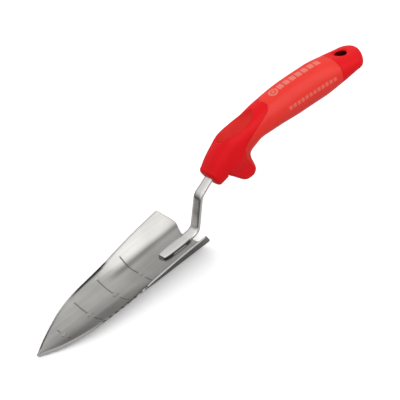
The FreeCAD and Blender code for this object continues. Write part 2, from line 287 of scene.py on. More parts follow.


# Moulded red plastic: spark-eroded grain, faint rubbed spots, and painted shade, a deeper red, inside the
# hang hole.
def mouldedPlastic():
    f = Finish("mouldedPlastic", {"Metallic": 0.0, "IOR": 1.5, "Specular IOR Level": 0.12})
    grain = f.noise(f.place(), 2600.0, 2.0)
    clouds = f.noise(f.place(), 45.0, 4.0)
    rubbed = f.node("ShaderNodeValToRGB", {"stops": [(0.58, (0, 0, 0)), (0.72, (1, 1, 1))]}, {0: clouds})
    red = f.mix(clouds, clear((0.70, 0.004, 0.008)), clear((0.82, 0.007, 0.012)))
    # painted shade: the hang hole's wall is a dark red
    f.feed("Base Color", f.mix(f.attribute("bored"), red, clear((0.10, 0.001, 0.002))))
    f.feed("Roughness", 0.40 + 0.08 * grain - 0.07 * rubbed)
    f.bump(grain, 0.00005, 0.5)
    return f.material


# Plain printing on the gel, in mm along and around it: a ringed dot and two rows of blocks.
printing = dict(
    emblem=(258.2, -1.6), ring=(3.1, 0.8), dot=1.2,
    # first station, pitch, block length, number of blocks, place around the grip, block height, strength
    rows=[(262.8, 6.0, 4.6, 7, -1.4, 5.2, 0.62), (260.2, 4.0, 2.8, 12, -20.5, 2.9, 0.45)],
)


# Strength of the printing: a window on the distance from the emblem's middle for its ring and its
# dot; in each row, windows on the two places, times a window on what is left of the distance along
# after whole pitches are taken off.
def printMask(f):
    along, around = f.attribute("along"), f.attribute("around")
    acrossX, acrossY = along - printing["emblem"][0], around - printing["emblem"][1]
    away = f.node("ShaderNodeMath", {"operation": "SQRT"}, {0: acrossX * acrossX + acrossY * acrossY})
    mask = 0.62 * (f.window(away, *printing["ring"]) + f.window(away, 0.0, printing["dot"]))
    for first, pitch, length, count, place, height, strength in printing["rows"]:
        phase = f.node("ShaderNodeMath", {"operation": "FRACT"}, {0: (along - first) * (1 / pitch)})
        block = f.window(phase * pitch, length / 2 + 0.3, length / 2)
        rowHalf = count * pitch / 2
        row = f.window(along, first + rowHalf, rowHalf) * f.window(around, place, height / 2)
        mask = mask + strength * (block * row)
    return mask


# Soft gel: lit from within, with slow clouds in its depth, a fine satin skin and pale printing.
def softGel():
    f = Finish("softGel", {"Metallic": 0.0, "IOR": 1.45, "Subsurface Weight": 0.25, "Subsurface Scale": 0.004,
                           "Subsurface Radius": (1.0, 0.25, 0.15), "Coat Roughness": 0.25,
                           "Specular IOR Level": 0.3})
    depth = f.noise(f.place((1, 2, 2)), 30.0, 3.0)
    skin = f.noise(f.place(), 1900.0, 2.0)
    red = f.mix(depth, clear((0.79, 0.022, 0.014)), clear((0.88, 0.040, 0.026)))
    f.feed("Base Color", f.mix(printMask(f), red, clear((0.72, 0.28, 0.22))))
    f.feed("Roughness", 0.34 + 0.08 * skin + 0.06 * depth)
    f.feed("Coat Weight", 0.05 + 0.10 * depth)
    f.bump(skin, 0.00004, 0.4)
    return f.material


# Soft inlay under the thumb: darker and finely pimpled.
def pimpledPad():
    f = Finish("pimpledPad", {"Metallic": 0.0, "IOR": 1.45, "Specular IOR Level": 0.12})
    cells = f.node("ShaderNodeTexVoronoi", {}, {"Vector": f.place(), "Scale": 900.0}, "Distance")
    clouds = f.noise(f.place(), 120.0, 3.0)
    f.feed("Base Color", f.mix(clouds, clear((0.58, 0.010, 0.008)), clear((0.70, 0.016, 0.012))))
    f.feed("Roughness", 0.48 + 0.12 * cells)
    f.bump(1 - cells, 0.00012, 0.6)
    return f.material


finishes = dict(blade=satinBladeSteel(), bar=polishedBarSteel(), weld=weldSteel(), plastic=mouldedPlastic(),
                gel=softGel(), pad=pimpledPad())
print("finishes ready")


# Softness times the log of one plus e to the distance over the softness: nothing well before the
# fold, and a straight slope well after it.
def softRamp(distance, softness):
    return softness * np.log1p(np.exp(distance / softness))


# Height of the hollow face: the floor's height, plus the edge's rise times the sum of the two folds'
# soft ramps, scaled so that it is 0 on the middle line and 1 at the edge.
def hollowHeight(x, y):
    half, fold, softness = (curveThrough(sheet[key], x) for key in ("halfWidth", "foldLine", "foldSoftness"))
    atMiddle = 2 * softRamp(-fold, softness)
    atEdge = softRamp(half - fold, softness) + softRamp(-half - fold, softness)
    wall = (softRamp(y - fold, softness) + softRamp(-y - fold, softness) - atMiddle) / (atEdge - atMiddle)
    return curveThrough(sheet["floor"], x) + curveThrough(sheet["edgeRise"], x) * wall


# How far each tooth's round bite goes into the right-hand edge at x.
def toothBite(x):
    number = np.clip(np.round((x - teeth["first"]) / teeth["pitch"]), 0, teeth["count"] - 1)
    away = np.abs(x - teeth["first"] - number * teeth["pitch"]) / teeth["halfBite"]
    return teeth["bite"] * np.clip(1 - away**2, 0, 1)


# Distance from points (across, along) to a stroke that runs through the given corners.
def strokeDistance(across, along, stroke):
    best = np.full(across.shape, 9.0)
    for (ax, ay), (bx, by) in zip(stroke[:-1], stroke[1:]):
        t = ((across - ax) * (bx - ax) + (along - ay) * (by - ay)) / ((bx - ax)**2 + (by - ay)**2)
        t = np.clip(t, 0, 1)
        best = np.minimum(best, np.hypot(across - ax - t * (bx - ax), along - ay - t * (by - ay)))
    return best


# Round part of a digit: points on an ellipse from the start to the end angle, in degrees.
def bowl(middleX, middleY, radiusX, radiusY, start, end, count=9):
    angle = np.radians(np.linspace(start, end, count))
    return list(zip(middleX + radiusX * np.cos(angle), middleY + radiusY * np.sin(angle)))


# strokes of one to four, in a box one wide and one high
digits = [
    [[(0.25, 0.8), (0.55, 1.0), (0.55, 0.0)], [(0.25, 0.0), (0.85, 0.0)]],
    [bowl(0.5, 0.72, 0.42, 0.28, 170, -40) + [(0.08, 0.0), (0.95, 0.0)]],
    [bowl(0.48, 0.75, 0.40, 0.25, 150, -90) + bowl(0.48, 0.26, 0.45, 0.26, 90, -150)],
    [[(0.72, 0.0), (0.72, 1.0), (0.05, 0.3), (0.98, 0.3)]],
]


# Depth of the graduation lines and digits at each point: full within half a line's width of the
# line or stroke, and eased out to nothing at its edge.
def engraving(x, y):
    cut = np.zeros(x.shape)
    for number, (near, far) in enumerate(marks["spans"], start=1):
        along = x - number * marks["inch"]
        line = 1 - ease(0.45, 1.0, np.abs(along) / marks["halfWidth"])
        inSpan = ease(near - 0.3, near + 0.3, np.abs(y)) * (1 - ease(far - 0.3, far + 0.3, np.abs(y)))
        cut = np.maximum(cut, line * inSpan * marks["depth"])
        # the digits stand upright for someone holding the handle, so they read from the tip's left
        across = -y + marks["digitWidth"] / 2
        upward = along + marks["digitHeight"] / 2
        for stroke in digits[number - 1]:
            corners = [(px * marks["digitWidth"], py * marks["digitHeight"]) for px, py in stroke]
            away = strokeDistance(across, upward, corners)
            cut = np.maximum(cut, marks["digitDepth"] * (1 - ease(0.5, 1.0, away / marks["digitStroke"])))
    return cut


# Stations along the blade, closer together at the marks, in the teeth and near both ends.
def bladeStations(rear):
    runs = [np.linspace(0, 12, 22), np.arange(12, rear - 3, 1.5), np.arange(46.5, 92, 0.55),
            np.linspace(rear - 3, rear, 13)]
    for number in range(1, 5):
        middle = number * marks["inch"]
        runs.append(np.arange(middle - 2.7, middle + 2.75, 0.24))
        runs.append(np.arange(middle - 0.6, middle + 0.65, 0.12))
    every = np.unique(np.round(np.concatenate(runs), 3))
    return every[np.concatenate([[True], np.diff(every) > 0.07])]


# How worn and how shaded each point of the hollow face is, from its place and its distances in from the
# edges:
# painted shade on the left ground edge, in the teeth's bites and along the folds, painted darker rims, bright
# ground steel.
def bladeWearAndShade(x, y, eSide, eEdge, facet):
    # painted shade: a dark strip on the left ground edge, standing in for a dark reflection
    soot = ease(0.05, 0.30, facet) * (y > 0) * ease(*wearAndShade["shadeStarts"], x) * (1 - ease(*wearAndShade["shadeEnds"], x))
    # painted shade: dark inside the bites of the teeth
    inTooth = ease(0.1, 0.7, toothBite(x) / teeth["bite"]) * (y < 0) * (1 - ease(0.9, 2.2, eSide))
    # painted shade: a dark band along each fold near the rear, standing in for the reflection of the handle
    # and shank
    fromFold = (np.abs(y) - curveThrough(sheet["foldLine"], x)) / wearAndShade["foldWidth"]
    foldShade = wearAndShade["foldShade"] * np.exp(-fromFold**2) * ease(*wearAndShade["foldStarts"], x)
    ground = ease(0.02, 0.30, facet) * (1 - ease(*wearAndShade["groundEnds"], x))
    rimShine = wearAndShade["rimShine"] * (1 - ease(0.1, 0.6, eEdge)) * ease(*wearAndShade["rimShineStarts"], x)
    # painted shade: the front of the right rim darker, standing in for dark reflected lines
    paintedDarkRim = wearAndShade["paintedDarkRim"] * (y < 0) * (1 - ease(*wearAndShade["paintedDarkRimEnds"], x)) * (1 - ease(1.6, 2.6, eSide))
    # painted shade: a grey line along the rear rims, where the edge shows dark
    rimLine = wearAndShade["rimLine"] * (y > -14) * ease(*wearAndShade["rimLineStarts"], x) * (1 - ease(0.45, 1.0, eEdge))
    mark = np.clip(engraving(x, y) / marks["depth"], 0, 1) * wearAndShade["mark"]
    return {"soot": np.maximum(np.maximum(soot, inTooth), foldShade), "ground": np.maximum(ground, rimShine),
            "mark": mark, "dull": np.maximum(paintedDarkRim, rimLine)}


# Where the sheet ends behind each column: the floor's cut, the notch's flank or the leaning wing,
# whichever comes first, blended over soft by the log of the sum of their exponentials, with the
# corners rounded off.
def rearEnd(xEnd, yEnd, eSide):
    wing = sheet["wingRear"] - sheet["wingLean"] * hollowHeight(xEnd, yEnd)
    shoulderX, shoulderY = sheet["shoulder"]
    flank = curveThrough([(0, sheet["floorRear"]), (sheet["notchHalf"], sheet["floorRear"]),
                          (sheet["notchHalf"] + 3.2, sheet["floorRear"] + 1.0),
                          (shoulderY, shoulderX), (shoulderY + 6, wing.max() + 4)], np.abs(yEnd))
    soft, rear, corner = sheet["blendLength"], sheet["rear"], sheet["cornerRadius"]
    end = rear - soft * np.log(np.exp(-(flank - rear) / soft) + np.exp(-(wing - rear) / soft))
    nearEdge = np.clip(corner - eSide, 0, None)
    return end - corner + np.sqrt(corner**2 - nearEdge**2)


# Sheet: columns run from the tip back, rows across. Each point's distance in from the outline
# sets the ground facet's depth and the rounding of both rims; the back is the hollow face moved
# by the thickness along its normal.
def makeBlade():
    rear = sheet["rear"]
    inset = np.array([0.0, 0.05, 0.14, 0.30, 0.7, 1.4, 2.05, 2.35])
    tight = np.linspace(-0.155, 0.155, 41)
    wide = np.linspace(0.155, 1, 30)[1:-1]
    inner = np.concatenate([-wide[::-1], tight, wide])
    station = bladeStations(rear)
    half = curveThrough(sheet["halfWidth"], station)[:, None]
    rightHalf = half - toothBite(station)[:, None]
    squeeze = np.clip(half / 5.5, 0, 1)
    y = np.concatenate([-(rightHalf - inset * squeeze), inner * (half - 2.6 * squeeze),
                        (half - inset * squeeze)[:, ::-1]], 1)
    eSide = np.concatenate([inset * squeeze, np.full((len(station), len(inner)), 9.0),
                            (inset * squeeze)[:, ::-1]], 1)
    x = np.repeat(station[:, None], y.shape[1], 1)
    share = y / half
    push = np.clip((station - sheet["warpFrom"]) / (rear - sheet["warpFrom"]), 0, 1)[:, None]**1.5
    for again in range(3):
        end = rearEnd(x[-1], share[-1] * curveThrough(sheet["halfWidth"], x[-1]), eSide[-1])
        x = station[:, None] + (end - rear)[None, :] * push
    y = share * curveThrough(sheet["halfWidth"], x)
    eEdge = np.minimum(eSide, x[-1][None, :] - x)
    z = hollowHeight(x, y)
    step = 0.02
    slopeY = (hollowHeight(x, y + step) - hollowHeight(x, y - step)) / (2 * step)
    slopeX = (hollowHeight(x + step, y) - hollowHeight(x - step, y)) / (2 * step)
    normal = np.stack([-slopeX, -slopeY, np.ones_like(x)], -1)
    normal /= np.linalg.norm(normal, axis=-1, keepdims=True)
    grind = curveThrough(sheet["grindWidth"], x) * squeeze
    edge = curveThrough(sheet["edgeThickness"], x)
    facet = np.clip(1 - eSide / grind, 0, 1)
    rim = sheet["rimRadius"] * np.clip(edge / 1.35, 0.45, 1)
    bend = np.clip(1 - eEdge / rim, 0, 1)
    rounding = rim * (1 - np.sqrt(1 - bend**2))
    top = facet * (sheet["thickness"] - edge) + rounding + engraving(x, y)
    back = sheet["thickness"] - rounding * 0.9
    points = np.stack([x, y, z], -1)
    hollow = points - normal * top[..., None]
    under = points - normal * back[..., None]
    rows, columns = x.shape
    corners = np.concatenate([hollow.reshape(-1, 3), under.reshape(-1, 3)])
    _, quads, _ = gridFaces(hollow)
    offset = rows * columns
    index = np.arange(offset).reshape(rows, columns)
    loop = np.concatenate([index[0, :-1], index[:-1, -1], index[-1, :0:-1], index[:0:-1, 0]])
    following = np.roll(loop, -1)
    rimFaces = np.stack([following, loop, loop + offset, following + offset], -1)
    # the whole back is painted darker
    attributes = {key: np.concatenate([values.ravel(), np.full(offset, float(key == "dull"))])
                  for key, values in bladeWearAndShade(x, y, eSide, eEdge, facet).items()}
    return buildPiece("trowel_blade", corners, [quads, quads[:, ::-1] + offset, rimFaces], finishes["blade"],
                      ["blade"], 32, attributes)


makeBlade()

# Bent bar: its foot lies on the blade's floor and its tang ends inside the handle.
bar = dict(
    cornerPower=5.0, ringPoints=40,
    # centre line above the foot: x, height, bend radius there
    route=[(122.0, 2.15, 0), (147.0, 2.75, 12), (156.6, 3.8, 8), (169.4, 27.8, 9), (196.8, 41.5, 40),
           (222.0, 47.6, 60), (268.0, 50.0, 0)],
    # distance from the toe, half width, half thickness
    section=[(0, 3.9, 1.0), (1.6, 4.7, 1.15), (4.5, 5.3, 1.25), (13, 5.8, 1.3), (20, 5.8, 1.3),
             (26, 5.0, 1.3), (31, 4.9, 1.35), (36, 4.8, 1.35), (58, 4.6, 1.35), (76, 4.1, 1.35),
             (300, 3.9, 1.35)],
    toeNarrower=0.8, toeThinner=0.45, footEnd=24.0, shadeFade=4.0,
)


# Route with each corner replaced by a parabola that starts and ends radius times tan(turn / 2)
# away from it, as (x, height) rows.
def bentRoute(points, perBend=14, straightStep=2.0):
    way = [np.array(points[0][:2])[None]]
    for before, corner, after in zip(points[:-2], points[1:-1], points[2:]):
        c = np.array(corner[:2])
        inward = (np.array(before[:2]) - c) / np.linalg.norm(np.array(before[:2]) - c)
        onward = (np.array(after[:2]) - c) / np.linalg.norm(np.array(after[:2]) - c)
        turn = math.pi - math.acos(np.clip(inward @ onward, -1, 1))
        reach = corner[2] * math.tan(turn / 2)
        start, end = c + inward * reach, c + onward * reach
        run = np.linalg.norm(start - way[-1][-1])
        t = np.linspace(0, 1, max(2, int(run / straightStep)))[1:-1, None]
        way.append(way[-1][-1] + (start - way[-1][-1]) * t)
        t = np.linspace(0, 1, perBend)[:, None]
        way.append((1 - t)**2 * start + 2 * t * (1 - t) * c + t**2 * end)
    last = np.array(points[-1][:2])
    t = np.linspace(0, 1, int(np.linalg.norm(last - way[-1][-1]) / straightStep))[1:, None]
    way.append(way[-1][-1] + (last - way[-1][-1]) * t)
    return np.concatenate(way)


# Closed ring of a superellipse with even steps of angle: radius is one over the n-th root of
# |cos|^n + |sin|^n.
def roundedBox(count, power):
    angle = np.arange(count) * 2 * math.pi / count
    radius = (np.abs(np.cos(angle))**power + np.abs(np.sin(angle))**power) ** (-1 / np.asarray(power))
    return radius * np.cos(angle), radius * np.sin(angle)


# Bar: the superellipse ring, scaled to the section at each station, stands square to the route.
# The right flank of the foot and its toe get painted shade, standing in for the shadow on the flank and the
# toe's end face.
def makeShank():
    way = bentRoute(bar["route"])
    way = np.concatenate([way[:1] + np.array([[0.0, 0.0], [0.35, 0.0], [1.0, 0.0]]), way[1:]])
    along = np.concatenate([[0], np.cumsum(np.linalg.norm(np.diff(way, axis=0), axis=1))])
    tangent = np.gradient(way, along + np.arange(len(along)) * 1e-9, axis=0)
    tangent /= np.linalg.norm(tangent, axis=1, keepdims=True)
    wide = curveThrough([(d, w) for d, w, t in bar["section"]], along)
    thick = curveThrough([(d, t) for d, w, t in bar["section"]], along)
    wide[0] -= bar["toeNarrower"]
    thick[0] -= bar["toeThinner"]
    across, up = roundedBox(bar["ringPoints"], bar["cornerPower"])
    ringUp = up[None, :] * thick[:, None]
    x = way[:, :1] - ringUp * tangent[:, 1:]
    z = way[:, 1:] + ringUp * tangent[:, :1]
    points = np.stack([x, across[None, :] * wide[:, None], z], -1)
    corners, quads, fans = gridFaces(points, closeColumns=True, capFirst=True, capLast=True)
    # painted shade along the foot's right flank and on its toe
    onFoot = (1 - ease(bar["footEnd"], bar["footEnd"] + bar["shadeFade"], along))[:, None]
    flank = ease(0.80, 0.97, -across)[None, :] * onFoot
    toe = (1 - ease(0.0, 0.9, along))[:, None] + 0 * flank
    soot = np.zeros(len(corners))
    soot[:flank.size] = np.maximum(flank, toe).ravel()
    return buildPiece("bent_shank", corners, [quads, *fans], finishes["bar"], ["shank"], 40,
                      {"soot": soot})


makeShank()

# Three weld beads: one along each side of the foot and one across its toe.
beads = dict(radius=1.23, ripple=0.16, rippleLength=1.5, squashOut=0.9, squashUp=0.72, lift=0.1,
             sideFrom=129.0, sideTo=143.0, sideY=5.4, toeX=121.9, toeHalf=2.9)


# Bead: a half round carried along a line, its radius swollen by a rectified wave for the ripples
# and drawn in to nothing at both ends.
def makeBead(name, node, start, end, outward, count=48, ring=14):
    start, end, outward = (np.array(v, float) for v in (start, end, outward))
    length = np.linalg.norm(end - start)
    t = np.linspace(0, 1, count)[:, None]
    angle = np.linspace(0, 2 * math.pi, ring, endpoint=False)[None, :]
    closing = np.sqrt(np.clip(1 - (2 * t - 1)**8, 0.0016, 1))
    wave = np.abs(np.sin(math.pi * t * length / beads["rippleLength"]))
    radius = (beads["radius"] * closing + beads["ripple"] * (wave - 0.5)) * closing
    path = start + (end - start) * t
    points = (path[:, None] + outward * (radius * np.cos(angle))[..., None] * beads["squashOut"]
              + np.array([0, 0, 1.0]) * (radius * np.sin(angle))[..., None] * beads["squashUp"])
    corners, quads, fans = gridFaces(points, closeColumns=True, capFirst=True, capLast=True)
    return buildPiece(name, corners, [quads, *fans], finishes["weld"], [node])


# Height of a bead's middle line over the blade at x, y.
def beadHeight(x, y):
    return float(hollowHeight(np.array(x), np.array(y))) + beads["lift"]


def makeBeads():
    for name, node, side in (("weld_bead_right", "weld_right", -1), ("weld_bead_left", "weld_left", 1)):
        y = side * beads["sideY"]
        ends = [(x, y, beadHeight(x, y)) for x in (beads["sideFrom"], beads["sideTo"])]
        makeBead(name, node, ends[0], ends[1], (0, side, 0))
    x, half = beads["toeX"], beads["toeHalf"]
    ends = [(x, y, beadHeight(x, 0.0)) for y in (-half, half)]
    makeBead("weld_bead_toe", "weld_toe", ends[0], ends[1], (-1, 0, 0), 26)


makeBeads()

# Handle: hard core with guard and tail, soft sleeve, thumb pad.
grip = dict(
    # station x, centre height, slope in degrees, half height, half width, squareness
    sections=[(185.8, 35.6, 22, 9.3, 9.0, 2.8), (192.5, 38.9, 22, 11.1, 10.0, 2.7),
              (200.5, 42.4, 19, 12.6, 11.0, 2.6), (209.0, 46.2, 15, 13.3, 11.6, 2.6),
              (219.7, 48.3, 10, 12.5, 12.0, 2.5), (231.5, 50.3, 7, 10.9, 12.2, 2.3),
              (241.0, 51.0, 2, 12.1, 12.6, 2.2), (254.6, 51.2, -1, 13.4, 13.3, 2.1),
              (272.8, 50.5, -3, 14.5, 14.0, 2.1), (295.3, 49.1, -4, 14.5, 14.2, 2.1),
              (315.7, 47.6, -5, 11.2, 15.0, 2.2), (330.0, 46.7, -6, 8.2, 14.6, 2.3)],
    tailLength=11.6, noseRounding=3.0, ringPoints=144,
    # guard: station, then the outline point under the handle that the station's ring reaches to
    guard=[(191.5, 193.6, 28.9), (193.4, 195.8, 29.6), (195.6, 200.4, 25.4), (198.0, 205.0, 20.4),
           (200.4, 208.8, 16.6), (203.0, 212.6, 15.0), (205.6, 216.8, 14.9), (207.8, 219.8, 16.6),
           (209.6, 221.3, 19.8), (211.4, 220.7, 24.4), (213.4, 219.3, 29.4), (215.4, 219.2, 32.8),
           (218.2, 220.6, 35.3), (221.5, 223.4, 36.8), (225.5, 227.4, 38.1)],
    guardHalf=8.2, guardPower=4.5,
    # gel seams: angle down from the top in degrees, station of the front seam there
    frontSeam=[(0, 246.2), (25, 247.2), (43, 245.2), (57, 239.6), (68, 232.2), (80, 224.4), (93, 217.0),
               (102, 211.4), (118, 208.9), (150, 208.4), (180, 208.2)],
    rearSeam=[(0, 313.9), (60, 314.2), (90, 313.7), (180, 314.0)],
    gelDepth=2.0, guardGelDepth=0.36, lipRadius=0.22, lipLength=0.30, gelRim=0.3, seamGap=0.1,
    printRadius=13.5,
    thumb=dict(station=220.6, halfLength=17.2, halfAngle=44.0, dish=2.3, bed=0.6,
               rimFrom=0.9, rimSpan=0.068, rimDrop=0.45),
    hole=dict(x=325.8, z=46.9, slope=-6.0, radius=4.8, rim=1.0, mouth=8.1),
)


# Outer skin of the handle at station s and angle a down from the top, in degrees. Above the
# middle a ring is a superellipse square to the handle; below, it stretches towards the guard's
# outline, and narrows to the guard's width on the way.
def handleSkin(s, a):
    table = np.array(grip["sections"], float)
    first, last = table[0, 0], table[-1, 0]
    inner = np.clip(s, first, last)
    values = [curveThrough(list(zip(table[:, 0], table[:, k])), inner) for k in range(1, 6)]
    height, slope, halfHeight, halfWidth, power = values
    lean = np.radians(slope)
    noseShare = np.clip((first - s) / grip["noseRounding"], 0, 1)
    tailShare = np.clip((s - last) / grip["tailLength"], 0, 1)
    noseIn = grip["noseRounding"] * (1 - np.sqrt(1 - noseShare**2))
    halfHeight = (halfHeight - noseIn) * np.clip(1 - tailShare**4, 0, 1)**0.25
    halfWidth = (halfWidth - noseIn) * np.sqrt(np.clip(1 - tailShare**2, 0, 1))
    beyond = s - inner
    x = inner + beyond * np.cos(lean)
    z = height + beyond * np.sin(lean)
    guard = np.array(grip["guard"], float)
    inGuard = ease(guard[0, 0], guard[1, 0], s) * (1 - ease(guard[-2, 0], guard[-1, 0], s))
    tipX = curveThrough(list(zip(guard[:, 0], guard[:, 1])), s)
    tipZ = curveThrough(list(zip(guard[:, 0], guard[:, 2])), s)
    plainX = x + halfHeight * np.sin(lean)
    plainZ = z - halfHeight * np.cos(lean)
    downX = plainX + (tipX - plainX) * inGuard - x
    downZ = plainZ + (tipZ - plainZ) * inGuard - z
    angle = np.radians(a)
    below = np.cos(angle) < 0
    reach = np.hypot(downX, downZ)
    deep = ease(1.0, 2.2, reach / (halfHeight + 1e-6)) * below
    n = power + (grip["guardPower"] - power) * deep
    radius = (np.abs(np.cos(angle))**n + np.abs(np.sin(angle))**n) ** (-1 / n)
    up = radius * np.cos(angle)
    out = radius * np.sin(angle)
    narrowing = deep * ease(0.15, 0.62, -up)
    width = halfWidth + (grip["guardHalf"] - halfWidth) * narrowing
    return np.stack([
        x + np.where(below, -up * downX, -up * halfHeight * np.sin(lean)),
        width * out,
        z + np.where(below, -up * downZ, up * halfHeight * np.cos(lean))], -1)


# Unit normals of a grid of closed rings, from the cross product of its row and column steps.
def gridNormals(points):
    across = np.roll(points, -1, 1) - np.roll(points, 1, 1)
    along = np.gradient(points, axis=0)
    normal = np.cross(along, across)
    normal /= np.linalg.norm(normal, axis=-1, keepdims=True) + 1e-9
    middle = points.mean(1, keepdims=True)
    flip = np.sign(np.einsum("ijk,ijk->ij", normal, points - middle).sum())
    return normal * flip


# Station of a seam at angle a, the same on both sides.
def seamStation(seam, a):
    return curveThrough(seam, np.abs(a))


# Place of a skin point in the oval thumb rest: 0 in its middle, 1 on its outline.
def thumbShare(s, a):
    rest = grip["thumb"]
    return np.hypot((s - rest["station"]) / rest["halfLength"], a / rest["halfAngle"])


# How far the thumb rest is hollowed below the skin: deepest a little behind its middle.
def thumbDish(s, share):
    rest = grip["thumb"]
    behind = 1 + 0.5 * np.clip((s - rest["station"]) / rest["halfLength"], -1, 1)
    return rest["dish"] * behind * np.clip(1 - share**2.4, 0, 1)


# The hang hole's middle, and the directions along and across it.
def holeFrame():
    hole = grip["hole"]
    lean = math.radians(hole["slope"])
    axis = np.array([-math.sin(lean), 0, math.cos(lean)])
    side = np.array([math.cos(lean), 0, math.sin(lean)])
    return np.array([hole["x"], 0, hole["z"]]), axis, side


# Flared pin with which the hang hole is cut: straight in the middle, opening by a quarter round
# where it leaves the handle.
def holeCutter():
    hole = grip["hole"]
    middle, axis, side = holeFrame()
    mouth = hole["mouth"]
    quarter = np.radians(np.linspace(0, 90, 9))
    flareHeight = mouth - hole["rim"] + hole["rim"] * np.sin(quarter)
    flareRadius = hole["radius"] + hole["rim"] * (1 - np.cos(quarter))
    height = np.concatenate([[0], flareHeight, [mouth + 9]])
    radius = np.concatenate([[hole["radius"]], flareRadius, [flareRadius[-1] + 6]])
    height = np.concatenate([-height[:0:-1], height])
    radius = np.concatenate([radius[:0:-1], radius])
    angle = np.linspace(0, 2 * math.pi, 64, endpoint=False)
    ring = side * np.cos(angle)[:, None] + np.array([0, 1.0, 0]) * np.sin(angle)[:, None]
    points = middle + axis * height[:, None, None] + ring[None] * radius[:, None, None]
    corners, quads, fans = gridFaces(points, closeColumns=True, capFirst=True, capLast=True)
    mesh = bpy.data.meshes.new("holeCutter")
    faces = quads[:, ::-1].tolist() + [f for fan in fans for f in fan[:, ::-1].tolist()]
    mesh.from_pydata(((corners + shift) / 1000).tolist(), [], faces)
    cutter = bpy.data.objects.new("holeCutter", mesh)
    bpy.context.scene.collection.objects.link(cutter)
    return cutter


# Cuts the hole, then marks its wall for painted shade: points no further from the axis than the radius
# and a little, and short of the mouth.
def cutHole(piece):
    cutter = holeCutter()
    cut = piece.modifiers.new("hangHole", "BOOLEAN")
    cut.operation = "DIFFERENCE"
    cut.solver = "EXACT"
    cut.object = cutter
    graph = bpy.context.evaluated_depsgraph_get()
    finished = bpy.data.meshes.new_from_object(piece.evaluated_get(graph))
    piece.modifiers.clear()
    piece.data = finished
    finished.polygons.foreach_set("use_smooth", np.ones(len(finished.polygons), bool))
    finished.set_sharp_from_angle(angle=math.radians(38))
    bpy.data.objects.remove(cutter)
    spots = np.empty(len(finished.vertices) * 3)
    finished.vertices.foreach_get("co", spots)
    middle, axis, side = holeFrame()
    away = spots.reshape(-1, 3) * 1000 - shift - middle
    upward = away @ axis
    outward = np.sqrt(np.clip((away**2).sum(1) - upward**2, 0, None))
    # the hole's wall gets painted shade
    bored = (outward < grip["hole"]["radius"] + 0.4) & (np.abs(upward) < grip["hole"]["mouth"] - 0.5)
    finished.attributes.new("bored", "FLOAT", "POINT").data.foreach_set("value", bored.astype(float))


# Depth of the bed under the sleeve: full round the grip, thin down the back of the guard.
def bedDepth(s, a):
    onGuard = ease(75, 96, np.abs(a)) * (1 - ease(222, 234, s))
    return grip["gelDepth"] - (grip["gelDepth"] - grip["guardGelDepth"]) * onGuard


# Core: rows run from the nose to the front seam, across the sunken bed to the rear seam and on to
# the tail, so that both seams lie on a row; the thumb rest is let into the top.
def makeCore():
    first, last = grip["sections"][0][0], grip["sections"][-1][0]
    angle = np.linspace(-180, 180, grip["ringPoints"], endpoint=False)
    front, rear = seamStation(grip["frontSeam"], angle), seamStation(grip["rearSeam"], angle)
    lip = np.array([0.30, 0.20, 0.10, 0.03, 0.0])[:, None]
    lipDrop = grip["lipRadius"] * (1 - np.sqrt(1 - (1 - lip / grip["lipLength"])**2))
    flush = grip["lipLength"] + 0.04
    nose = (first - grip["noseRounding"] * np.sin(np.radians(np.linspace(90, 0, 8))))[:-1, None] + 0 * angle
    forward = first + (front - flush - first) * np.linspace(0, 1, 104)[:, None]
    bed = front + 0.02 + (rear - front - 0.04) * np.linspace(0, 1, 64)[:, None]
    backward = rear + flush + (last - rear - flush) * np.linspace(0, 1, 22)[:, None]
    tail = (last + grip["tailLength"] * np.sin(np.radians(np.linspace(3, 89, 22))))[:, None] + 0 * angle
    s = np.concatenate([nose, forward, front - lip, bed, rear + lip[::-1], backward, tail])
    a = np.repeat(angle[None, :], len(s), 0)
    flat = np.zeros((1, len(angle)))
    sunk = [flat.repeat(len(nose) + len(forward), 0), lipDrop + flat, bedDepth(bed, angle + 0 * bed),
            lipDrop[::-1] + flat, flat.repeat(len(backward) + len(tail), 0)]
    points = handleSkin(s, a)
    points = points - gridNormals(points) * np.concatenate(sunk)[..., None]
    share = thumbShare(s, a)
    seat = ease(0, 0.06, 1 - share)
    points[..., 2] -= thumbDish(s, share) + grip["thumb"]["bed"] * seat
    corners, quads, fans = gridFaces(points, closeColumns=True, capFirst=True, capLast=True)
    piece = buildPiece("handle_body", corners, [quads, *fans], finishes["plastic"],
                       ["handle_core"])
    cutHole(piece)
    return piece


# Sleeve: each angle's line runs on the skin from the front seam to the rear seam, with its ends
# rolled down into the bed by a quarter round, and back underneath as the sleeve's inside.
def makeGel():
    angle = np.linspace(-180, 180, grip["ringPoints"] * 2, endpoint=False)
    front = seamStation(grip["frontSeam"], angle)[None, :] + grip["seamGap"]
    rear = seamStation(grip["rearSeam"], angle)[None, :] - grip["seamGap"]
    radius = grip["gelRim"]
    roll = np.radians(np.linspace(0, 90, 7))[:, None]
    rollIn, rollLift = radius * (1 - np.cos(roll)), radius * (np.sin(roll) - 1)
    middle = np.linspace(0, 1, 120)[1:-1, None]
    s = np.concatenate([front + rollIn, front + radius + (rear - front - 2 * radius) * middle,
                        rear - rollIn[::-1]])
    lift = np.concatenate([rollLift, np.zeros_like(middle), rollLift[::-1]])
    a = np.repeat(angle[None, :], s.shape[0], 0)
    skin = handleSkin(s, a)
    normal = gridNormals(skin)
    outer = skin + normal * lift[..., None]
    inside = skin - normal * (bedDepth(s, a) - 0.03)[..., None]
    points = np.concatenate([outer, inside[::-1]])
    corners, quads, _ = gridFaces(points, closeRows=True, closeColumns=True)
    offSkin = np.full(s.size, -99.0)
    attributes = {"along": np.concatenate([s.ravel(), offSkin]),
                  "around": np.concatenate([(np.radians(a) * grip["printRadius"]).ravel(), offSkin])}
    return buildPiece("soft_grip", corners, [quads], finishes["gel"], ["gel_grip"], 60, attributes)


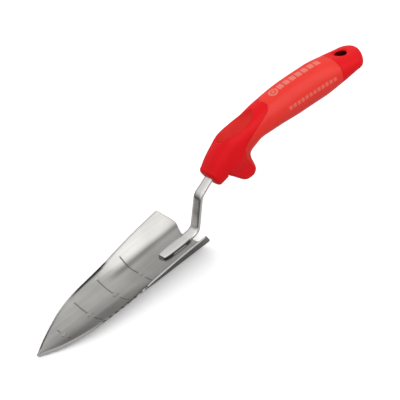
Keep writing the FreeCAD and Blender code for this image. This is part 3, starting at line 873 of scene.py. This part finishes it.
# Pad: rings on the skin from the oval's middle to its rolled rim, let down by the dish's depth,
# and closed underneath by the same rings further down.
def makePad():
    rest = grip["thumb"]
    rolled = rest["rimFrom"] + rest["rimSpan"] * np.sin(np.radians(np.linspace(12, 90, 7)))
    ring = np.concatenate([np.linspace(0.01, rest["rimFrom"], 24), rolled])
    share, turn = np.meshgrid(ring, np.linspace(0, 2 * math.pi, 96, endpoint=False), indexing="ij")
    s = rest["station"] + rest["halfLength"] * share * np.cos(turn)
    a = rest["halfAngle"] * share * np.sin(turn)
    top = handleSkin(s, a)
    rim = np.clip((share - rest["rimFrom"]) / rest["rimSpan"], 0, 1)
    under = top.copy()
    top[..., 2] -= thumbDish(s, share) + 0.05 + rest["rimDrop"] * (1 - np.sqrt(1 - rim**2))
    under[..., 2] -= thumbDish(s, share) + rest["bed"] + 0.4
    points = np.concatenate([top, under[::-1]])
    corners, quads, fans = gridFaces(points, closeColumns=True, capFirst=True, capLast=True)
    return buildPiece("thumb_inlay", corners, [quads, *fans], finishes["pad"], ["thumb_pad"], 60)


makeCore()
makeGel()
makePad()

# Lights, floor and surroundings.
studio = dict(keyEnergy=5.8, keySize=(1.15, 1.15), fillEnergy=6.6, fillSize=(1.7, 0.6), boxDistance=1.15,
              keyFrom=(0.36, -0.76, 0.54), fillFrom=(0.30, 0.82, 0.43),
              floorColour=(0.93, 0.93, 0.93), bounceColour=(0.42, 0.42, 0.42), floorGlow=(0.26, 0.26, 0.26),
              ambient=0.74, glossHorizon=0.05, glossOverhead=0.85, seenByCamera=0.96)


# Floor: a wide square with a faintly mottled tone, which throws less light back than it shows.
def makeFloor():
    side = np.linspace(-6, 6, 9)
    gx, gy = np.meshgrid(side, side, indexing="ij")
    points = np.stack([gx, gy, np.full(gx.shape, -0.0004)], -1)
    corners, quads, _ = gridFaces(points)
    mesh = bpy.data.meshes.new("floor")
    mesh.from_pydata(corners.tolist(), [], quads.tolist())
    floor = bpy.data.objects.new("floor", mesh)
    bpy.context.scene.collection.objects.link(floor)
    f = Finish("paleFloor", {"Roughness": 0.9, "Specular IOR Level": 0.1, "Emission Strength": 1.0})
    direct = f.node("ShaderNodeLightPath", {}, {}, "Is Camera Ray")
    pale = f.mix(f.noise(f.place(), 3.0), clear(studio["floorColour"]),
                 clear(tuple(0.99 * c for c in studio["floorColour"])))
    f.feed("Base Color", f.mix(direct, clear(studio["bounceColour"]), pale))
    f.feed("Emission Color", f.mix(direct, clear((0.0, 0.0, 0.0)), clear(studio["floorGlow"])))
    mesh.materials.append(f.material)


# A soft box stands off along its direction and looks back at the middle of the trowel.
def softBox(name, direction, energy, size, mirrored):
    light = bpy.data.lights.new(name, "AREA")
    light.shape = "RECTANGLE"
    light.size, light.size_y = size
    light.energy = energy
    lamp = bpy.data.objects.new(name, light)
    away = Vector(direction).normalized()
    lamp.location = away * studio["boxDistance"]
    lamp.rotation_euler = away.to_track_quat("Z", "Y").to_euler()
    lamp.visible_glossy = mirrored
    bpy.context.scene.collection.objects.link(lamp)


# World: pale to the camera and an even soft fill for matt surfaces; reflections see a dim room that
# brightens from the horizon to overhead.
def makeWorld():
    world = bpy.data.worlds.new("studioWorld")
    world.use_nodes = True
    bpy.context.scene.world = world
    f = NodeTree(world.node_tree)
    skyward = f.node("ShaderNodeSeparateXYZ", {}, {0: f.node("ShaderNodeTexCoord", output="Generated")}, 2)
    climb = f.node("ShaderNodeMapRange", {}, {0: skyward, 1: 0.2, 2: 0.75, 3: studio["glossHorizon"],
                                              4: studio["glossOverhead"]})
    inGloss = f.node("ShaderNodeLightPath", {}, {}, "Is Glossy Ray")
    toCamera = f.node("ShaderNodeLightPath", {}, {}, "Is Camera Ray")
    room = f.blend(inGloss, studio["ambient"], climb)
    seen = f.blend(toCamera, room, studio["seenByCamera"])
    shade = f.tree.nodes["Background"]
    shade.inputs[0].default_value = clear((1, 1, 1))
    f.tree.links.new(seen.socket, shade.inputs[1])


view = dict(turn=-27.4, height=34.33, roll=20.73, distance=2.0, focus=(165.0, 0.0, 25.0),
            right=3.66, up=1.28, lens=241.4)


# Camera: looks along minus v, where v = (sin turn cos height, -cos turn cos height, sin height),
# and is rolled about v.
def makeCamera():
    turn, height, roll = (math.radians(view[k]) for k in ("turn", "height", "roll"))
    ahead = math.cos(height)
    toCamera = Vector((math.sin(turn) * ahead, -math.cos(turn) * ahead, math.sin(height)))
    level = Vector((math.cos(turn), math.sin(turn), 0))
    upright = toCamera.cross(level)
    right = math.cos(roll) * level - math.sin(roll) * upright
    up = math.sin(roll) * level + math.cos(roll) * upright
    focus = (Vector(view["focus"]) + Vector(shift)) / 1000
    camera = bpy.data.objects.new("camera", bpy.data.cameras.new("camera"))
    camera.data.lens = view["lens"]
    camera.data.sensor_width = 36
    camera.data.clip_end = 50
    spot = focus + (right * view["right"] + up * view["up"]) / 1000 + toCamera * view["distance"]
    turned = Matrix((right, up, toCamera)).transposed().to_4x4()
    camera.matrix_world = Matrix.Translation(spot) @ turned
    bpy.context.scene.collection.objects.link(camera)
    bpy.context.scene.camera = camera


makeFloor()
softBox("keyBox", studio["keyFrom"], studio["keyEnergy"], studio["keySize"], True)
softBox("fillBox", studio["fillFrom"], studio["fillEnergy"], studio["fillSize"], False)
makeWorld()
makeCamera()
bpy.context.scene.view_settings.view_transform = "Standard"
print("studio ready")

bpy.context.view_layer.update()
